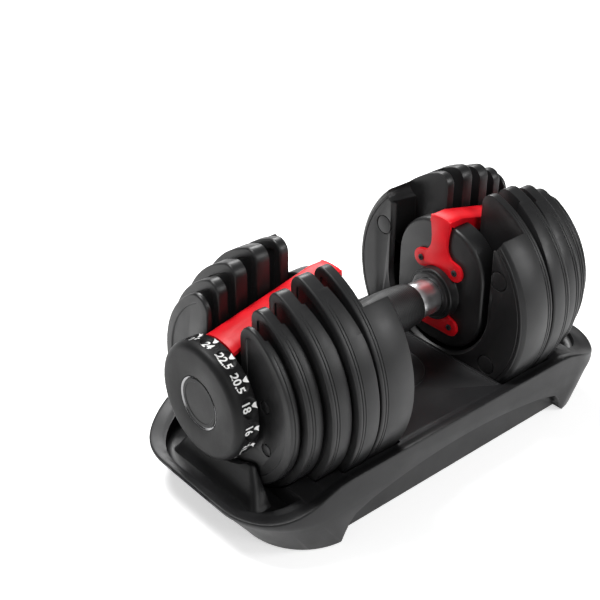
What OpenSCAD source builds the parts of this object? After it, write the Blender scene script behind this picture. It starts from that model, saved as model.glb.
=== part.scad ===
// Adjustable dumbbell with a selector dial at each end, sitting in its storage tray.
// +X runs along the handle, +Z is up, and the origin is under the middle of the tray.
// "Near" pieces are at the -X end and "far" pieces at the +X end; both ends are alike.

/* [Handle] */
// Distance between the two innermost plates, the room for the hand
hand_room = 126; // [110:1:150]
// Radius of the steel axle rod
rod_r = 8; // [6:0.5:10]
// Outer radius of the steel tube that the grip is moulded on
tube_r = 14; // [12:0.5:15]
// Half of the length of the rubber grip
grip_half = 31; // [24:1:40]
// Radius of the grip at its middle
grip_mid_r = 21; // [20:0.5:24]
// Radius of the grip at its ends
grip_end_r = 18.5; // [17:0.5:19.5]
// Radius of the plated collars beside the grip
collar_r = 16.5; // [15.5:0.5:18]
// Radius of the black hub on each inner disc
hub_r = 24.5; // [20:0.5:27]
// Length of that hub
hub_len = 12.5; // [8:0.5:16]

/* [Inner discs and bridges] */
// Half of the width of an inner disc
disc_half_w = 51; // [46:1:54]
// Height of an inner disc above the axle
disc_top = 67; // [60:1:70]
// Depth of an inner disc below the axle
disc_bottom = 53; // [48:1:55]
// Corner radius of an inner disc
disc_corner_r = 44; // [30:1:46]
// Thickness of an inner disc
disc_t = 20; // [14:0.5:21]
// How far an inner disc's face sits behind the innermost plate's face
disc_inset = 2.5; // [2:0.5:4]
// Thickness of the painted bridge and bracket
bridge_t = 3; // [2:0.25:4]
// Half of the bridge's width over the plates
bridge_half_w = 10.5; // [8:0.5:14]
// Half of the bridge's width at the dial
bridge_wide_half_w = 17; // [12:0.5:18]
// Height of the bridge's top above the axle
bridge_top = 74; // [70:0.5:76]
// Drop of the bridge from its top to the dial
bridge_drop = 25; // [18:0.5:28]
// Half of the spacing of the upper bracket screws
upper_screw_y = 20; // [16:0.5:24]
// Height of the upper bracket screws above the axle
upper_screw_z = 27; // [24:0.5:32]
// Half of the spacing of the lower bracket screws
lower_screw_y = 18.5; // [14:0.5:22]
// Depth of the lower bracket screws below the axle
lower_screw_z = 29; // [26:0.5:34]
// Radius of the rounded ears around the bracket screws
ear_r = 9; // [8:0.5:11]

/* [Plates] */
// Radius of the outermost plate
plate_1_r = 80.5; // [76:0.5:84]
// Radius of the second plate
plate_2_r = 87.5; // [84:0.5:91]
// Radius of the third plate
plate_3_r = 95.5; // [91:0.5:99]
// Radius of the two largest plates
plate_4_r = 101; // [99:0.5:108]
// Thickness of the outermost plate
plate_1_t = 9; // [8.5:0.5:14]
// Thickness of the second plate
plate_2_t = 15; // [12:0.5:20]
// Thickness of the third plate
plate_3_t = 19.5; // [16:0.5:24]
// Thickness of the fourth plate
plate_4_t = 21.5; // [18:0.5:26]
// Thickness of the innermost plate with its crescent
plate_5_t = 37.5; // [34:0.5:42]
// Thickness of the innermost plate behind its crescent
plate_5_web = 8.5; // [7:0.5:10]
// Gap between neighbouring plates
plate_gap = 2; // [1:0.25:3]
// Half of the width of the slot between a plate's horns
slot_half_w = 20; // [19:0.5:23]
// Radius of the horn tips on the outermost plate
horn_1_r = 13; // [8:0.5:14]
// Radius of the horn tips on the other plates
horn_r = 10; // [7:0.5:13]
// Height above the axle from which the horns thin towards their tips
ramp_start = 40; // [30:1:50]
// Half of the width of the crescent's recess
recess_half_w = 58; // [56:0.5:62]
// Height above the axle where the crescent is cut off
crescent_top = 64; // [58:1:68]
// Chamfer around each plate's rim
rim_chamfer = 1.5; // [0.5:0.25:2.5]
// Thickness of the moulded jacket beside the steel core
jacket = 3; // [2:0.25:4]
// Thickness of the jacket over the core's flat faces
skin = 1.2; // [1:0.1:1.5]

/* [Selector] */
// Depth of a plate's selector pocket, outermost plate
pocket_1 = 5; // [4.75:0.25:5.5]
// Depth of the second plate's pocket
pocket_2 = 6; // [5:0.25:8]
// Depth of the third plate's pocket
pocket_3 = 8; // [5:0.25:10]
// Depth of the fourth plate's pocket
pocket_4 = 9; // [5:0.25:11]
// Radius of a selector disc
selector_r = 43; // [40:0.5:44]
// Thickness of a selector disc's web
web_t = 1.6; // [1.2:0.1:2]
// Height of a selector disc's hook rim
hook_h = 2.4; // [2:0.1:3]
// Thickness of the hook rim
hook_t = 3; // [2:0.25:4]
// Outer radius of the sleeve that carries the selector discs
sleeve_r = 13; // [11.5:0.25:14]
// Radius of the selector discs' spacer bosses
boss_r = 17; // [15.5:0.25:18]

/* [Dial] */
// Radius of the dial's drum over its ridges
dial_r = 50; // [46:0.5:52]
// Length of the dial along the axle
dial_len = 20.7; // [18:0.1:26]
// Radius of the rounded edge of the dial's face
dial_shoulder = 6.5; // [4:0.5:10]
// Depth of the scallop under each number
scallop = 1.1; // [0.5:0.1:1.5]
// Wall of the dial
dial_wall = 3; // [2:0.25:3.5]
// Radius of the plated ring on the dial's face
ring_r = 22.5; // [20:0.5:26]
// Thickness of the end plate between the dial and the outermost plate
end_plate_t = 3.7; // [3:0.1:5]
// Radius of the end plate
end_plate_r = 32; // [28:0.5:36]
// Width of the lock slider
lock_w = 8; // [6:0.5:10]
// Travel of the lock slider
lock_travel = 4; // [3:0.25:4]

/* [Tray] */
// Height of the tray's side rim
rim_z = 60; // [56:0.5:64]
// Height of the tray's rim at its ends
rim_end_z = 39; // [36:0.5:44]
// How far the tray reaches past the dials
tray_past_dial = 12; // [8:0.5:18]
// How far the tray's feet stand in from its ends
foot_in = 26; // [20:0.5:32]
// Room between the plates and the rim's outer edge
rim_margin = 12.6; // [11:0.2:16]
// Width of the sloping band inside the rim
band = 12; // [9:0.5:14]
// Thickness of the tray's moulded walls
wall = 3; // [2.5:0.25:3.5]
// Height of the deck under the hand
deck_z = 56; // [52:0.5:57]
// Height of the cross ridges above the deck
ridge_h = 2; // [1:0.25:3]
// Radius of the raised ring on the deck
deck_ring_r = 38; // [30:1:44]
// Height of the channel's floor around the saddles
channel_z = 31; // [29:0.5:33]
// Room between a dial and the saddle under it
saddle_gap = 10; // [8:0.5:12]
// Depth of the saddle's hollow
saddle_depth = 8.6; // [6:0.2:10]
// Length of the arch between the feet
arch_len = 276; // [250:1:290]
// Height of the arch between the feet
arch_z = 40; // [30:0.5:42]
// Radius of the rubber feet
foot_r = 8; // [6:0.5:9]
// How far the rubber feet lift the tray
foot_lift = 1; // [0.5:0.25:2]

/* [Fits] */
// Radial running clearance of the turning sleeve
run_fit = 0.06; // [0.02:0.01:0.1]
// Clearance of pieces that are seated in each other
seat = 0.1; // [0.05:0.05:0.2]
// Clearance between the plates and the tray's wells
well_gap = 1; // [0.5:0.25:1.5]
// Clearance of parts that pass each other
pass = 0.5; // [0.3:0.05:0.6]

/* [Small parts] */
// Radius of the bracket screws
screw_r = 1.8; // [1.5:0.1:2.2]
// Radius of a bracket screw's head
head_r = 2.9; // [2.6:0.1:3.6]
// Thickness of that head
head_t = 1.4; // [1.2:0.1:1.8]
// Radius of the hexagon socket in the head
socket_r = 1.5; // [1.2:0.1:1.7]
// Length of screw inside an inner disc
screw_len = 12; // [8:1:13]
// Width of the keys that turn the selectors with the dial
key_w = 3; // [2.5:0.25:3.5]
// Height of those keys above the sleeve
key_h = 1.4; // [1:0.1:1.6]
// Radius of the nut that holds an end together
nut_r = 12; // [11:0.25:12.5]
// Thickness of that nut
nut_t = 6; // [5:0.5:7]
// Thickness of the round cap in a dial's face
cap_t = 2.2; // [1.8:0.1:2.5]
// Width of the plated ring around the cap
ring_t = 1.5; // [1.2:0.1:2]
// Thickness of the lock's blade
blade_t = 2; // [1.8:0.1:2.2]
// Height of the top of the blade, below the axle
blade_top = 21; // [20.5:0.25:21.5]
// Distance from the dial's rim in to the tip of the lock's tooth
tooth_in = 8.6; // [8.4:0.1:8.8]
// Thickness of the ridges across the tray's deck
ridge_t = 3; // [2:0.5:4]
// Height of the lowest plates above the table
floor_clear = 11; // [10:0.5:14]
// Corner radius of the tray's rim
corner_r = 60; // [55:1:64]
// Corner radius of the tray at the table
foot_corner_r = 55; // [50:1:58]

/* [Hidden] */
$fn = 96;
plate_count = 5;
settings = 15;
step_deg = 360 / settings;
// Which plates each dial setting picks up, from the heaviest setting to the handle alone.
// Each row reads from the outermost plate to the innermost.
picks = [[1, 1, 1, 1, 1], [0, 1, 1, 1, 1], [0, 0, 1, 1, 1], [0, 0, 0, 1, 1], [0, 0, 1, 0, 1],
         [0, 0, 0, 0, 1], [0, 1, 1, 1, 0], [1, 0, 1, 1, 0], [0, 0, 1, 1, 0], [1, 0, 0, 1, 0],
         [0, 0, 0, 1, 0], [1, 0, 1, 0, 0], [0, 0, 1, 0, 0], [1, 0, 0, 0, 0], [0, 0, 0, 0, 0]];
big = 400;

plate_r = [plate_1_r, plate_2_r, plate_3_r, plate_4_r, plate_4_r];
horn_tip = [horn_1_r, horn_r, horn_r, horn_r, horn_r];
plate_t = [plate_1_t, plate_2_t, plate_3_t, plate_4_t, plate_5_t];
pocket = [pocket_1, pocket_2, pocket_3, pocket_4, plate_5_t - plate_5_web];
// Share of the free thickness between the skins that each steel core fills.
core_fill = [1, 0.64, 0.36, 0.58, 1];

// Distances along the axle are measured outwards from the middle of the handle.
function inner_face(i) = i == plate_count - 1 ? hand_room / 2
                                              : inner_face(i + 1) + plate_t[i + 1] + plate_gap;
function outer_face(i) = inner_face(i) + plate_t[i];
function pocket_floor(i) = inner_face(i) + pocket[i];
function selector_in(i) = pocket_floor(i) - pass - hook_h - web_t;
max_r = max(plate_r);
axle_z = max_r + floor_clear;
plates_end = outer_face(0);
end_plate_in = plates_end + pass + 0.3;
end_plate_out = end_plate_in + end_plate_t;
dial_in = end_plate_out + 1.3;
dial_out = dial_in + dial_len;
disc_in = hand_room / 2 + disc_inset;
disc_out = disc_in + disc_t;
bracket_in = disc_in - bridge_t;
knee = hand_room / 2 + 15;
hub_in = disc_in - hub_len;
pocket_r = selector_r + 2.5;
lug_out = selector_r - hook_t - 0.8;
lug_in = lug_out - 3;
lug_h = hook_h - 0.2;
nut_in = dial_out - 10;
lock_pocket = lock_w + 2 * seat;
blade_in = end_plate_out - blade_t - seat;
dial_face_r = dial_r - dial_shoulder;
saddle_r = dial_r + saddle_gap;
tooth_r = dial_r - tooth_in;
notch_ring_r = tooth_r + 0.6;
notch_r = tooth_r + lock_travel + 0.8;
blade_end = dial_r + 8;
spring_top = sleeve_r + 1.2;
well_r = [for (r = plate_r) r + well_gap];
tray_half_l = dial_out + tray_past_dial;
tray_half_w = sqrt(pow(max_r + well_gap, 2) - pow(axle_z - rim_z, 2)) + rim_margin;
foot_at = [tray_half_l - 54, tray_half_w - 23];
well_out = plates_end + well_gap;
channel_in = well_out - plate_1_t - 2 * well_gap;
saddle_top = axle_z - saddle_r + saddle_depth;
ridge_out = hand_room / 2 - well_gap - 1;

// ---- frames ----

// An end's own frame: local Z points outwards along the axle, X to the right, Y up.
module near_end() translate([0, 0, axle_z]) rotate([90, 0, -90]) children();
module far_end() rotate([0, 0, 180]) near_end() children();
module at_axle() translate([0, 0, axle_z]) children();
module both_ends() { near_end() children(); far_end() children(); }

// Extrudes a flat shape between two distances along the axle.
module between(a, b) translate([0, 0, a]) linear_extrude(b - a) children();

module ring2d(outer, inner) difference() { circle(outer); circle(inner); }

// Rounded rectangle centred on the origin, with true arcs at its corners.
module round_rect(hx, hy, r) {
    square([2 * hx, 2 * (hy - r)], center = true);
    square([2 * (hx - r), 2 * hy], center = true);
    for (sx = [-1, 1], sy = [-1, 1]) translate([sx * (hx - r), sy * (hy - r)]) circle(r);
}

// Slice of a disc, centred on an angle.
module wedge(angle, half_angle, r)
    rotate(angle) polygon([[0, 0], [r * cos(half_angle), -r * sin(half_angle)],
                           [r / cos(half_angle), 0], [r * cos(half_angle), r * sin(half_angle)]]);

// ---- handle ----

module axle_rod()
    color("silver") rotate([0, 90, 0])
        cylinder(r = rod_r, h = 2 * (dial_out - cap_t - 1), center = true);

module handle_tube()
    color("gray") rotate([0, 90, 0]) difference() {
        cylinder(r = tube_r, h = 2 * (disc_out + 0.5), center = true);
        cylinder(r = rod_r + seat, h = big, center = true);
    }

module grip_sleeve() {
    bulge = grip_mid_r - grip_end_r;
    arc_r = (grip_half * grip_half + bulge * bulge) / (2 * bulge);
    color("dimgray") rotate([0, 90, 0]) rotate_extrude() intersection() {
        translate([grip_mid_r - arc_r, 0]) circle(arc_r, $fn = 360);
        translate([tube_r, -grip_half]) square([grip_mid_r, 2 * grip_half]);
    }
}

module handle_collars()
    color("lightgray") both_ends() between(grip_half + seat, hub_in - seat)
        ring2d(collar_r, tube_r);

module disc_outline() {
    mid = (disc_top - disc_bottom) / 2;
    translate([0, mid]) round_rect(disc_half_w, (disc_top + disc_bottom) / 2, disc_corner_r);
}

module screw_places() {
    for (s = [-1, 1]) {
        translate([s * upper_screw_y, upper_screw_z]) children();
        translate([s * lower_screw_y, -lower_screw_z]) children();
    }
}

module inner_disc() difference() {
    union() {
        between(disc_in + 1.5, disc_out) disc_outline();
        between(disc_in, disc_in + 1.5) intersection() {
            disc_outline();
            translate([0, (disc_top - disc_bottom) / 2])
                round_rect(disc_half_w - 1.5, (disc_top + disc_bottom) / 2 - 1.5,
                           disc_corner_r - 1.5);
        }
        between(hub_in + 3, disc_in) circle(hub_r);
        between(hub_in, hub_in + 3) circle(hub_r - 3);
    }
    cylinder(r = tube_r, h = big);
    between(disc_in - 1, disc_in + screw_len) screw_places() circle(screw_r);
}

module bridge_plate2d() difference() {
    union() {
        translate([-bridge_half_w, 0]) square([2 * bridge_half_w, bridge_top]);
        for (s = [-1, 1]) {
            translate([s * upper_screw_y, upper_screw_z]) circle(ear_r);
            polygon([[0, hub_r - 6], [0, upper_screw_z + 22], [s * bridge_half_w, upper_screw_z + 17],
                     [s * (upper_screw_y + 4.5), upper_screw_z + 8.9],
                     [s * (upper_screw_y - 3), upper_screw_z - 9.5]]);
        }
    }
    circle(hub_r + seat);
    screw_places() circle(screw_r + 0.3);
}

// Side view of the bridge: flat over the inner disc, then sloping down to the dial.
module bridge_profile() {
    end = end_plate_out - seat;
    polygon([[bracket_in, bridge_top], [knee, bridge_top], [end, bridge_top - bridge_drop],
             [end, bridge_top - bridge_drop - bridge_t], [knee, bridge_top - bridge_t],
             [bracket_in, bridge_top - bridge_t]]);
}

module bridge_plan() {
    polygon([[bracket_in, -bridge_half_w], [knee, -bridge_half_w],
             [end_plate_out, -bridge_wide_half_w], [end_plate_out, bridge_wide_half_w],
             [knee, bridge_half_w], [bracket_in, bridge_half_w]]);
}

module bridge() {
    between(bracket_in, disc_in) bridge_plate2d();
    intersection() {
        rotate([0, -90, 0]) translate([0, 0, -big / 2]) linear_extrude(big) bridge_profile();
        rotate([-90, 0, 0]) rotate([0, 0, -90]) translate([0, 0, -big / 2])
            linear_extrude(big) bridge_plan();
    }
}

module lower_bracket() between(bracket_in, disc_in) difference() {
    union() {
        for (s = [-1, 1]) translate([s * lower_screw_y, -lower_screw_z]) circle(ear_r);
        translate([-lower_screw_y, -lower_screw_z - ear_r]) square([2 * lower_screw_y, ear_r + 8]);
    }
    circle(hub_r + seat);
    screw_places() circle(screw_r + 0.3);
}

module bracket_screw() difference() {
    union() {
        between(bracket_in - head_t, bracket_in) circle(head_r);
        between(bracket_in, disc_in + screw_len - 1) circle(screw_r - 0.05);
    }
    between(bracket_in - head_t - 1, bracket_in - 0.4) circle(socket_r, $fn = 6);
}

module bracket_screws() color("dimgray") both_ends() screw_places() bracket_screw();

// ---- plates ----

// Outline of a plate: a disc with a slot from the axle to the top and two rounded horns.
module plate_outline(r, slot, tip) {
    tip_x = slot + tip;
    tip_y = sqrt(pow(r - tip, 2) - tip_x * tip_x);
    reach = (r + 10) / (r - tip);
    difference() {
        circle(r);
        circle(slot);
        translate([-slot, 0]) square([2 * slot, r + 1]);
        for (s = [-1, 1]) difference() {
            polygon([[s * slot, tip_y], [s * tip_x, tip_y],
                     [s * tip_x * reach, tip_y * reach], [s * slot, r + 20]]);
            translate([s * tip_x, tip_y]) circle(tip);
        }
    }
}

// The pocket that a selector disc sits in, open at the top so that the disc lifts out.
module pocket2d(r) {
    circle(r);
    translate([-r, 0]) square([2 * r, big]);
}

// Rounds off a plate's rim.
module rim_limit(r, a, b, chamfer_in, chamfer_out) rotate_extrude()
    polygon([[0, a], [r - chamfer_in, a], [r, a + chamfer_in], [r, b - chamfer_out],
             [r - chamfer_out, b], [0, b]]);

// Thins a plate's horns on the handle side, towards their tips.
module horn_ramp(i, extra, deeper) translate([-big / 2, 0, 0]) rotate([90, 0, 90])
    linear_extrude(big) polygon([[ramp_start - extra, inner_face(i) - 1],
                                 [ramp_start - extra, inner_face(i) + deeper],
                                 [plate_r[i], pocket_floor(i) + deeper],
                                 [big, pocket_floor(i) + deeper], [big, inner_face(i) - 1]]);

// Rounds down the crescent's two top corners, beside its recess.
module crescent_corner(extra) for (s = [-1, 1])
    polygon([[0, crescent_top - extra], [s * recess_half_w, crescent_top - extra],
             [s * (recess_half_w + 8), crescent_top + 11 - extra], [s * big, big], [0, big]]);

module recess_cut(i, extra, deeper) {
    is_crescent = i == plate_count - 1;
    between(inner_face(i) - 1, pocket_floor(i) + deeper)
        pocket2d((is_crescent ? recess_half_w : pocket_r) + extra);
    if (is_crescent) between(inner_face(i) - 1, pocket_floor(i) + deeper) crescent_corner(extra);
    else horn_ramp(i, extra, deeper);
}

module plate_body(i, shrink, a, b, extra, deeper, chamfer_in) difference() {
    intersection() {
        between(a, b) plate_outline(plate_r[i] - shrink, slot_half_w + shrink, horn_tip[i] - shrink);
        rim_limit(plate_r[i] - shrink, a, b, chamfer_in, rim_chamfer);
    }
    recess_cut(i, extra, deeper);
}

module core_body(i, grow) {
    free_t = plate_t[i] - 2 * skin;
    out = outer_face(i) - skin + grow;
    plate_body(i, jacket - grow, out - free_t * core_fill[i] - 2 * grow, out,
               skin - grow, skin - grow, rim_chamfer);
}

module plate_lug(i) between(pocket_floor(i) - lug_h, pocket_floor(i) + 0.5) intersection() {
    ring2d(lug_out, lug_in);
    wedge(-90, step_deg / 4, lug_out + 5);
}

module plate(i) {
    difference() {
        plate_body(i, 0, inner_face(i), outer_face(i), 0, 0,
                   i == plate_count - 1 ? 2 * rim_chamfer : rim_chamfer);
        core_body(i, seat);
    }
    plate_lug(i);
}

// ---- selector and dial ----

module key2d(extra)
    translate([-key_w / 2 - extra, 0]) square([key_w + 2 * extra, sleeve_r + key_h + extra]);

module selector_sleeve() between(disc_out + 1, nut_in - seat) difference() {
    union() { circle(sleeve_r); key2d(0); }
    circle(rod_r + run_fit);
}

module sleeve_hole2d() { circle(sleeve_r + seat / 2); key2d(seat / 2); }

// Hooks sit where the picked settings pass under the plate's lug, 180 degrees from the numbers.
module hook_ring2d(i) intersection() {
    ring2d(selector_r, selector_r - hook_t);
    for (k = [0 : settings - 1]) if (picks[k][i] == 1)
        wedge(-90 - k * step_deg, step_deg / 2 + 0.5, selector_r + 5);
}

module selector(i) {
    a = selector_in(i);
    boss_end = i == 0 ? end_plate_in - seat : selector_in(i - 1) - seat;
    difference() {
        union() {
            between(a, a + web_t) circle(selector_r);
            between(a + web_t, a + web_t + hook_h) hook_ring2d(i);
            between(a + web_t, boss_end) circle(boss_r);
        }
        between(a - 1, boss_end + 1) sleeve_hole2d();
    }
}

// Outside of the dial: a flat face, a rounded shoulder and a drum.
module dial_shape() rotate_extrude() {
    shoulder = dial_r - dial_face_r;
    square_end = dial_out - shoulder;
    translate([0, dial_in]) square([dial_r, square_end - dial_in]);
    translate([0, dial_in]) square([dial_face_r, dial_len]);
    translate([dial_face_r, square_end]) intersection() {
        circle(shoulder);
        square(shoulder);
    }
}

module scallops() {
    r = 34;
    for (k = [0 : settings - 1]) rotate(90 - k * step_deg)
        translate([dial_r + r - scallop, 0, dial_in - 1])
            cylinder(r = r, h = dial_len - (dial_r - dial_face_r) + 1.01);
}

module dial() difference() {
    union() {
        difference() {
            dial_shape();
            between(dial_in - 1, dial_out - dial_wall) circle(dial_r - scallop - dial_wall);
            scallops();
        }
        between(dial_in + 4, dial_out - 0.5) circle(ring_r + 3);
        difference() {
            between(dial_in, dial_in + 3.7) ring2d(dial_r - scallop - 1, notch_ring_r);
            for (k = [0 : settings - 1]) rotate(-90 - k * step_deg)
                translate([notch_ring_r - 5, -3.5, dial_in - 1]) cube([notch_r - notch_ring_r + 5, 7, 9]);
        }
    }
    between(dial_in - 1, nut_in + 1) sleeve_hole2d();
    between(nut_in, dial_out) circle(nut_r + 1.5);
    between(dial_out - cap_t, dial_out + 1) circle(ring_r - ring_t + seat);
    between(dial_out - 1.6, dial_out + 1) circle(ring_r + seat);
}

module dial_cap() {
    between(dial_out - cap_t + seat, dial_out - 0.6) circle(ring_r - ring_t);
}

module dial_ring() rotate_extrude() {
    translate([ring_r - ring_t + seat, dial_out - 1.5]) square([ring_t - seat, 1.5 - ring_t / 2]);
    translate([ring_r - (ring_t - seat) / 2, dial_out - ring_t / 2]) intersection() {
        circle((ring_t - seat) / 2);
        translate([-2, 0]) square([4, 2]);
    }
}

module end_plate() difference() {
    union() {
        between(end_plate_in, end_plate_out) circle(end_plate_r);
        between(end_plate_in, end_plate_out - 1.6)
            translate([-lock_w, -blade_top - 22]) square([2 * lock_w, 24]);
        between(end_plate_in, end_plate_out)
            translate([-11, 0]) square([22, bridge_top - bridge_drop - bridge_t - seat]);
    }
    between(end_plate_in - 1, end_plate_out + 1) circle(sleeve_r + key_h + 0.3);
    between(blade_in - seat, end_plate_out + 1)
        translate([-lock_pocket / 2, -big]) square([lock_pocket, big - spring_top + 0.4]);
}

// The slider's tooth drops into a notch of the dial when the dumbbell leaves its tray.
module lock_slider() {
    between(blade_in, blade_in + blade_t)
        translate([-lock_w / 2, -blade_end]) square([lock_w, blade_end - blade_top]);
    between(blade_in + blade_t - 0.5, dial_in + 3)
        translate([-2.5, -tooth_r]) square([5, 4.4]);
}

module lock_spring() {
    turns = 5;
    strip = 0.4;
    pitch = (blade_top - spring_top - seat - strip) / (turns - 1);
    for (k = [0 : turns - 1])
        translate([-3, -blade_top + seat / 2 + k * pitch, blade_in]) cube([6, strip, 1.6]);
    for (k = [0 : turns - 2])
        translate([k % 2 == 0 ? 3 - strip : -3, -blade_top + seat / 2 + k * pitch, blade_in])
            cube([strip, pitch + strip, 1.6]);
}

module axle_nut() between(nut_in, nut_in + nut_t) difference() {
    circle(nut_r, $fn = 6);
    circle(rod_r);
}

// ---- tray ----

module slab(hx, hy, r, z0, z1) translate([0, 0, z0]) linear_extrude(z1 - z0)
    round_rect(hx, hy, r, $fn = 64);

module below(z) translate([-big, -big, -big]) cube([2 * big, 2 * big, big + z]);

// Outside of the tray, with ends that lean in towards the feet.
module tray_form(inset) hull() {
    slab(tray_half_l - foot_in - inset, tray_half_w - 1 - inset, foot_corner_r - inset,
         foot_lift, foot_lift + 1);
    slab(tray_half_l - inset, tray_half_w - inset, corner_r - inset, rim_end_z - 2, rim_z);
}

// The shallow dish inside the rim, down to the deck.
module dish() hull() {
    slab(tray_half_l - 2, tray_half_w - 2, corner_r - 2, rim_z, rim_z + 1);
    slab(tray_half_l - band, tray_half_w - band, corner_r - band, deck_z, rim_z);
}

// Lowers the rim towards the ends.
module end_slopes(extra) for (s = [-1, 1])
    translate([0, big, -extra]) rotate([90, 0, 0]) linear_extrude(2 * big)
        polygon([[s * (tray_half_l - 75), rim_z], [s * (tray_half_l - 50), rim_z - 4],
                 [s * (tray_half_l - 25), rim_end_z + 6], [s * (tray_half_l - 8), rim_end_z],
                 [s * (tray_half_l + 10), rim_end_z], [s * (tray_half_l + 10), big],
                 [s * (tray_half_l - 75), big]]);

module well_cuts(extra) both_ends() for (i = [0 : plate_count - 1])
    translate([0, 0, inner_face(i) - well_gap - extra])
        cylinder(r = well_r[i] + extra, h = plate_t[i] + 2 * well_gap + 2 * extra, $fn = 128);

// Block under a dial, in the end's own frame: it slopes down to the channel on three sides.
module saddle_block(inset) difference() {
    intersection() {
        hull() {
            translate([-38 + inset, saddle_top - axle_z - 1 - inset, well_out])
                cube([76 - 2 * inset, 1, 12 - inset]);
            translate([-60 + inset, channel_z - axle_z - 1 - inset, well_out])
                cube([120 - 2 * inset, 1, 30 - inset]);
        }
        between(well_out + inset, tray_half_l) square(big, center = true);
    }
    between(0, tray_half_l) circle(saddle_r + inset);
}

// Sunk channel around the saddles.
module channel(extra) difference() {
    slab(tray_half_l - 7 + extra, tray_half_w - 20 + extra, corner_r - 10 + extra,
         channel_z - extra, rim_z + 20);
    cube([2 * (channel_in - extra), big, big], center = true);
}

module tray_hollow() difference() {
    intersection() {
        tray_form(wall);
        below(deck_z - wall);
    }
    well_cuts(wall);
    channel(wall);
    end_slopes(wall);
    feet_places() translate([0, 0, -1]) cylinder(r = foot_r + 2.5, h = channel_z);
}

module side_arch() {
    rise = arch_z - 27;
    half = arch_len / 2;
    sag_r = (half * half * 0.7 + rise * rise) / (2 * rise);
    for (s = [-1, 1]) translate([0, s * tray_half_w + 12, 0]) rotate([90, 0, 0])
        linear_extrude(24) intersection() {
            translate([0, arch_z - sag_r]) circle(sag_r, $fn = 720);
            polygon([[-half - 1, -1], [half + 1, -1], [half - 26, arch_z], [-half + 26, arch_z]]);
        }
}

module feet_places() for (sx = [-1, 1], sy = [-1, 1])
    translate([sx * foot_at[0], sy * foot_at[1], 0]) children();

// Lifts the lock slider clear of the dial's notches while the dumbbell is in the tray.
module unlock_tab() between(well_out + 0.3, end_plate_out + 1)
    translate([-3.5, -saddle_r - 4]) square([7, saddle_r + 4 - blade_end - 0.2]);

module deck_marks() {
    for (s = [-1, 1]) translate([s * (ridge_out - ridge_t / 2), 0, deck_z + ridge_h / 2 - 0.5])
        cube([ridge_t, 2 * (tray_half_w - band - 4), ridge_h + 1], center = true);
    translate([0, 0, deck_z - 1]) linear_extrude(1.6) ring2d(deck_ring_r, deck_ring_r - 1.5);
}

module base_tray() color("#2b2b2d") difference() {
    union() {
        difference() {
            tray_form(0);
            dish();
            channel(0);
            end_slopes(0);
            well_cuts(0);
            tray_hollow();
        }
        both_ends() {
            difference() {
                saddle_block(0);
                saddle_block(wall);
            }
            unlock_tab();
        }
        deck_marks();
    }
    side_arch();
    feet_places() translate([0, 0, -1]) cylinder(r = foot_r + seat, h = 4 + seat);
}

module rubber_feet() color("#151515") feet_places() cylinder(r = foot_r, h = 3);

// ---- nodes ----

module black() color("#303032") children();
module red() color("#d8202c") children();
module steel() color("silver") children();

base_tray();
rubber_feet();
at_axle() axle_rod();
at_axle() handle_tube();
at_axle() grip_sleeve();
handle_collars();
black() near_end() inner_disc();  // near_inner_disc
black() far_end() inner_disc();  // far_inner_disc
red() near_end() bridge();  // near_bridge
red() far_end() bridge();  // far_bridge
red() near_end() lower_bracket();  // near_lower_bracket
red() far_end() lower_bracket();  // far_lower_bracket
bracket_screws();
black() near_end() end_plate();  // near_end_plate
black() far_end() end_plate();  // far_end_plate
steel() both_ends() axle_nut();  // axle_nuts
steel() near_end() lock_slider();  // near_lock_slider
steel() far_end() lock_slider();  // far_lock_slider
steel() near_end() lock_spring();  // near_lock_spring
steel() far_end() lock_spring();  // far_lock_spring
black() near_end() dial();  // near_dial
black() near_end() dial_cap();  // near_dial_cap
steel() near_end() dial_ring();  // near_dial_ring
black() near_end() selector_sleeve();  // near_selector_sleeve
black() far_end() dial();  // far_dial
black() far_end() dial_cap();  // far_dial_cap
steel() far_end() dial_ring();  // far_dial_ring
black() far_end() selector_sleeve();  // far_selector_sleeve

for (i = [0 : plate_count - 1]) {
    black() near_end() selector(i);
    black() far_end() selector(i);
    black() near_end() plate(i);
    black() far_end() plate(i);
    steel() near_end() core_body(i, 0);
    steel() far_end() core_body(i, 0);
}
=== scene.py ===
import math

import bmesh
import bpy
from mathutils import Matrix, Vector


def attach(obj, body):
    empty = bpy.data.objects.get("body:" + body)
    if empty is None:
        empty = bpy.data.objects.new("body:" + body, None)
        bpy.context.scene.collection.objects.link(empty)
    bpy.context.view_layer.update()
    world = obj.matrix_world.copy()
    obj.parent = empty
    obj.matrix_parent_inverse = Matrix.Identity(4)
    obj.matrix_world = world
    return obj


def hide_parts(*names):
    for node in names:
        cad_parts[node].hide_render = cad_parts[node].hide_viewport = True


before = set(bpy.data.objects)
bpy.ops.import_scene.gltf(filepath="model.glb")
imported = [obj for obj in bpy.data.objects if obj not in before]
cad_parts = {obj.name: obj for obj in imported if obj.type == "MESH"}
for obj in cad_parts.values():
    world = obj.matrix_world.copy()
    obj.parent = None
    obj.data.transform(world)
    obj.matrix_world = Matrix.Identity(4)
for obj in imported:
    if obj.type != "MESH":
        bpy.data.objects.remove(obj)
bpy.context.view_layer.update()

# Sizes are in metres, along and around the handle's axle.
sizes = {
    "axleHeight": 0.112,
    "plateRadius": [0.0805, 0.0875, 0.0955, 0.101, 0.101],
    "plateThickness": [0.009, 0.015, 0.0195, 0.0215, 0.0375],
    "pocketDepth": [0.005, 0.006, 0.008, 0.009, 0.029],
    "plateGap": 0.002,
    "handRoom": 0.126,
    "slotHalf": 0.020,
    "hornTip": [0.013, 0.010, 0.010, 0.010, 0.010],
    "rampStart": 0.040,
    "pocketRadius": 0.0455,
    "recessRadius": 0.058,
    "crescentTop": 0.064,
    "dialRadius": 0.050,
    "dialLength": 0.0207,
    "dialFace": 0.0435,
    "ringRadius": 0.0225,
    "settings": 15,
}

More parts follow.
